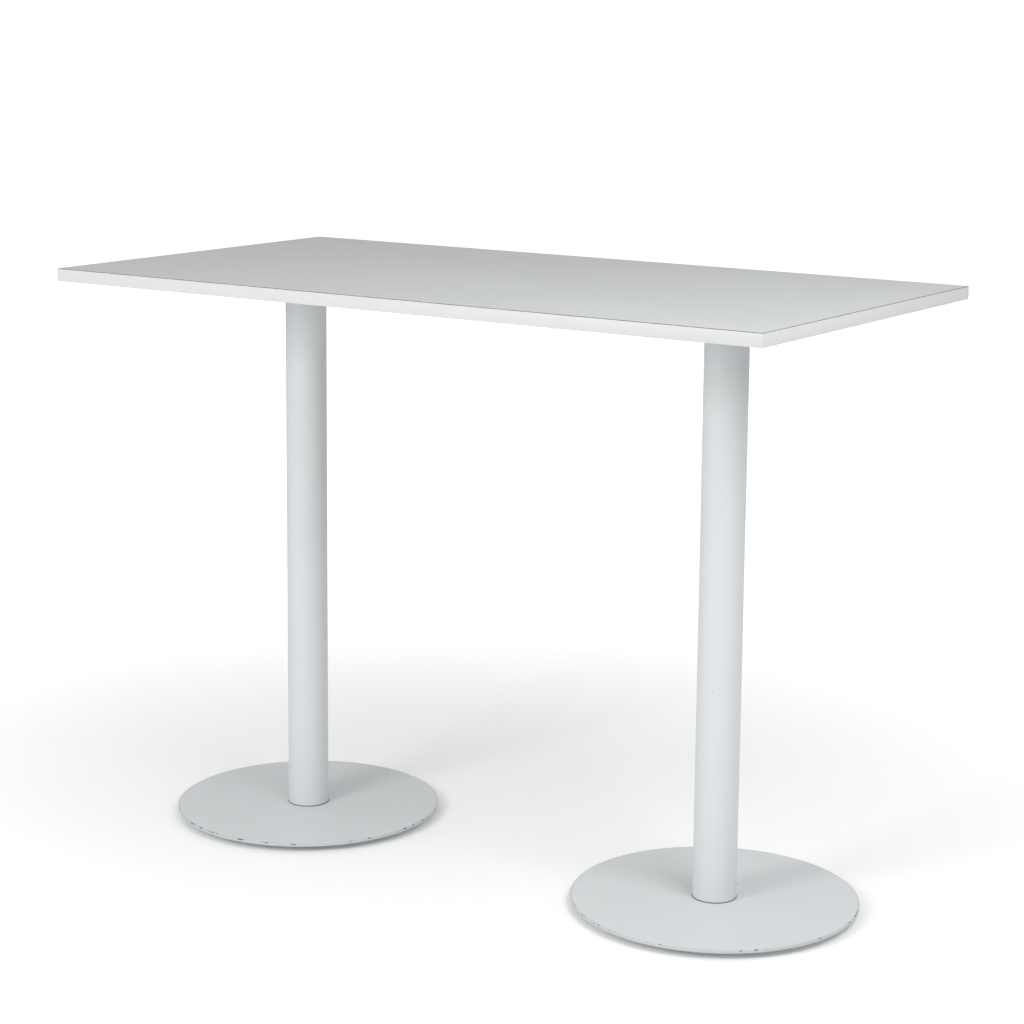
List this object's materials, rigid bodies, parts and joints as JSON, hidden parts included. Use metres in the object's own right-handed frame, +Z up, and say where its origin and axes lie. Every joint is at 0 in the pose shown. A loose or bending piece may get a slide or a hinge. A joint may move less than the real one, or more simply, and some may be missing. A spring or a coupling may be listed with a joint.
{
  "type": "standing meeting table",
  "caption": "Standing-height meeting table: rectangular white laminate worktop with edge bands on round steel columns, each on a flat disc base with levelling feet.",
  "frame": {"origin": "on the floor, under the middle of the worktop", "axes": "+X along the worktop's length, towards the end at the picture's right; -Y towards the long edge that faces the camera; +Z up"},
  "size_m": [1.5, 0.8, 1.12],
  "materials": {
    "laminate": "satin white laminate with a brown core",
    "chipboard": "raw chipboard",
    "backing": "matt backing laminate",
    "edge_band": "satin white",
    "powder_coat": "satin white powder coat with chipped edges",
    "rubber": "matt black",
    "zinc_steel": "zinc plated",
    "nylon": "matt grey nylon"
  },
  "bodies": {
    "table": {"top_laminate": "laminate", "core_board": "chipboard", "backing_laminate": "backing", "front_edge_band": "edge_band", "rear_edge_band": "edge_band", "left_edge_band": "edge_band", "right_edge_band": "edge_band", "left_base_disc": "powder_coat", "left_foot_gasket": "rubber", "left_column_tube": "powder_coat", "left_foot_plug": "zinc_steel", "left_base_washer": "zinc_steel", "left_base_bolt": "zinc_steel", "left_top_plate": "powder_coat", "left_plate_screw_1": "zinc_steel", "left_plate_screw_2": "zinc_steel", "left_plate_screw_3": "zinc_steel", "left_plate_screw_4": "zinc_steel", "left_plate_screw_5": "zinc_steel", "left_plate_screw_6": "zinc_steel", "left_level_nut_1": "powder_coat", "left_level_nut_2": "powder_coat", "left_level_nut_3": "powder_coat", "left_level_nut_4": "powder_coat", "right_base_disc": "powder_coat", "right_foot_gasket": "rubber", "right_column_tube": "powder_coat", "right_foot_plug": "zinc_steel", "right_base_washer": "zinc_steel", "right_base_bolt": "zinc_steel", "right_top_plate": "powder_coat", "right_plate_screw_1": "zinc_steel", "right_plate_screw_2": "zinc_steel", "right_plate_screw_3": "zinc_steel", "right_plate_screw_4": "zinc_steel", "right_plate_screw_5": "zinc_steel", "right_plate_screw_6": "zinc_steel", "right_level_nut_1": "powder_coat", "right_level_nut_2": "powder_coat", "right_level_nut_3": "powder_coat", "right_level_nut_4": "powder_coat"},
    "left_pad_1": {"left_level_pad_1": "nylon"},
    "left_stem_1": {"left_level_stem_1": "zinc_steel"},
    "left_pad_2": {"left_level_pad_2": "nylon"},
    "left_stem_2": {"left_level_stem_2": "zinc_steel"},
    "left_pad_3": {"left_level_pad_3": "nylon"},
    "left_stem_3": {"left_level_stem_3": "zinc_steel"},
    "left_pad_4": {"left_level_pad_4": "nylon"},
    "left_stem_4": {"left_level_stem_4": "zinc_steel"},
    "right_pad_1": {"right_level_pad_1": "nylon"},
    "right_stem_1": {"right_level_stem_1": "zinc_steel"},
    "right_pad_2": {"right_level_pad_2": "nylon"},
    "right_stem_2": {"right_level_stem_2": "zinc_steel"},
    "right_pad_3": {"right_level_pad_3": "nylon"},
    "right_stem_3": {"right_level_stem_3": "zinc_steel"},
    "right_pad_4": {"right_level_pad_4": "nylon"},
    "right_stem_4": {"right_level_stem_4": "zinc_steel"}
  },
  "joints": [
    {"name": "left_foot_1_travel", "type": "slide", "parent": "table", "child": "left_pad_1", "axis": [0, 0, -1], "range_m": [0, 0.005]},
    {"name": "left_foot_1_turn", "type": "hinge", "parent": "left_pad_1", "child": "left_stem_1", "pos_m": [-0.32151, 0.14849, 0.01], "axis": [0, 0, -1], "range_deg": [0, 1440]},
    {"name": "left_foot_2_travel", "type": "slide", "parent": "table", "child": "left_pad_2", "axis": [0, 0, -1], "range_m": [0, 0.005]},
    {"name": "left_foot_2_turn", "type": "hinge", "parent": "left_pad_2", "child": "left_stem_2", "pos_m": [-0.61849, 0.14849, 0.01], "axis": [0, 0, -1], "range_deg": [0, 1440]},
    {"name": "left_foot_3_travel", "type": "slide", "parent": "table", "child": "left_pad_3", "axis": [0, 0, -1], "range_m": [0, 0.005]},
    {"name": "left_foot_3_turn", "type": "hinge", "parent": "left_pad_3", "child": "left_stem_3", "pos_m": [-0.61849, -0.14849, 0.01], "axis": [0, 0, -1], "range_deg": [0, 1440]},
    {"name": "left_foot_4_travel", "type": "slide", "parent": "table", "child": "left_pad_4", "axis": [0, 0, -1], "range_m": [0, 0.005]},
    {"name": "left_foot_4_turn", "type": "hinge", "parent": "left_pad_4", "child": "left_stem_4", "pos_m": [-0.32151, -0.14849, 0.01], "axis": [0, 0, -1], "range_deg": [0, 1440]},
    {"name": "right_foot_1_travel", "type": "slide", "parent": "table", "child": "right_pad_1", "axis": [0, 0, -1], "range_m": [0, 0.005]},
    {"name": "right_foot_1_turn", "type": "hinge", "parent": "right_pad_1", "child": "right_stem_1", "pos_m": [0.61849, 0.14849, 0.01], "axis": [0, 0, -1], "range_deg": [0, 1440]},
    {"name": "right_foot_2_travel", "type": "slide", "parent": "table", "child": "right_pad_2", "axis": [0, 0, -1], "range_m": [0, 0.005]},
    {"name": "right_foot_2_turn", "type": "hinge", "parent": "right_pad_2", "child": "right_stem_2", "pos_m": [0.32151, 0.14849, 0.01], "axis": [0, 0, -1], "range_deg": [0, 1440]},
    {"name": "right_foot_3_travel", "type": "slide", "parent": "table", "child": "right_pad_3", "axis": [0, 0, -1], "range_m": [0, 0.005]},
    {"name": "right_foot_3_turn", "type": "hinge", "parent": "right_pad_3", "child": "right_stem_3", "pos_m": [0.32151, -0.14849, 0.01], "axis": [0, 0, -1], "range_deg": [0, 1440]},
    {"name": "right_foot_4_travel", "type": "slide", "parent": "table", "child": "right_pad_4", "axis": [0, 0, -1], "range_m": [0, 0.005]},
    {"name": "right_foot_4_turn", "type": "hinge", "parent": "right_pad_4", "child": "right_stem_4", "pos_m": [0.61849, -0.14849, 0.01], "axis": [0, 0, -1], "range_deg": [0, 1440]}
  ],
  "couplings": [
    {"joint": "left_foot_1_travel", "follows": "left_foot_1_turn", "m_per_rad": 0.0001989},
    {"joint": "left_foot_2_travel", "follows": "left_foot_2_turn", "m_per_rad": 0.0001989},
    {"joint": "left_foot_3_travel", "follows": "left_foot_3_turn", "m_per_rad": 0.0001989},
    {"joint": "left_foot_4_travel", "follows": "left_foot_4_turn", "m_per_rad": 0.0001989},
    {"joint": "right_foot_1_travel", "follows": "right_foot_1_turn", "m_per_rad": 0.0001989},
    {"joint": "right_foot_2_travel", "follows": "right_foot_2_turn", "m_per_rad": 0.0001989},
    {"joint": "right_foot_3_travel", "follows": "right_foot_3_turn", "m_per_rad": 0.0001989},
    {"joint": "right_foot_4_travel", "follows": "right_foot_4_turn", "m_per_rad": 0.0001989}
  ]
}
